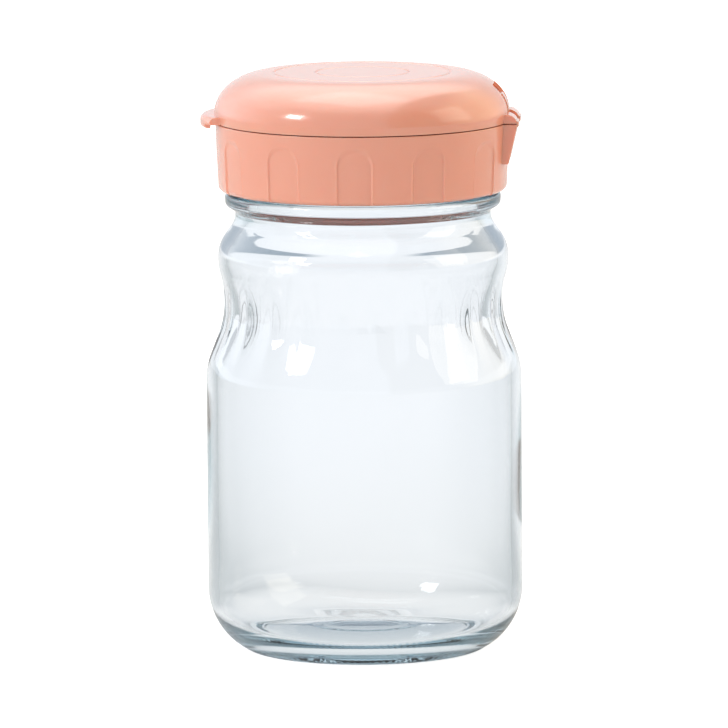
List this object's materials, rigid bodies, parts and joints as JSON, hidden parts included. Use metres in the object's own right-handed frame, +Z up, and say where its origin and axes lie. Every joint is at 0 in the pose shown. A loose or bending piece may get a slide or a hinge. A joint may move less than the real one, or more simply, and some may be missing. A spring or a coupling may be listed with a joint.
{
  "type": "storage jar",
  "caption": "Clear fluted-waist glass storage jar with a wide mouth and a pink screw collar that carries a snap-open hinged dome lid with a thumb tab.",
  "frame": {"origin": "centre of the bearing ring that the jar stands on", "axes": "+Z up along the jar's axis, +X from the axis towards the lid's hinge, so the thumb tab points to -X; +Y completes the right hand"},
  "size_m": [0.0861, 0.085, 0.1558],
  "materials": {
    "clear_glass": "clear polished soda glass with a faint blue-green tint at the edges",
    "white_liner": "soft matt liner",
    "pink_plastic": "glossy salmon-pink polypropylene moulding"
  },
  "bodies": {
    "jar": {"glass_jar": "clear_glass"},
    "seal": {"sealing_ring": "white_liner"},
    "collar": {"screw_collar": "pink_plastic", "film_hinge_front": "pink_plastic", "film_hinge_rear": "pink_plastic", "spring_strap": "pink_plastic"},
    "lid": {"flip_lid": "pink_plastic"}
  },
  "joints": [
    {"name": "cap_lift", "type": "slide", "parent": "jar", "child": "seal", "axis": [0, 0, 1], "range_m": [0, 0.00526]},
    {"name": "cap_turn", "type": "hinge", "parent": "seal", "child": "collar", "pos_m": [0, 0, 0.1404], "axis": [0, 0, 1], "range_deg": [0, 450]},
    {"name": "lid_hinge", "type": "hinge", "parent": "collar", "child": "lid", "pos_m": [0.0421, 0, 0.1426], "axis": [0, 1, 0], "range_deg": [0, 180], "deforming": ["film_hinge_front", "film_hinge_rear", "spring_strap"]}
  ],
  "couplings": [
    {"joint": "cap_lift", "follows": "cap_turn", "m_per_rad": 0.00066845}
  ]
}
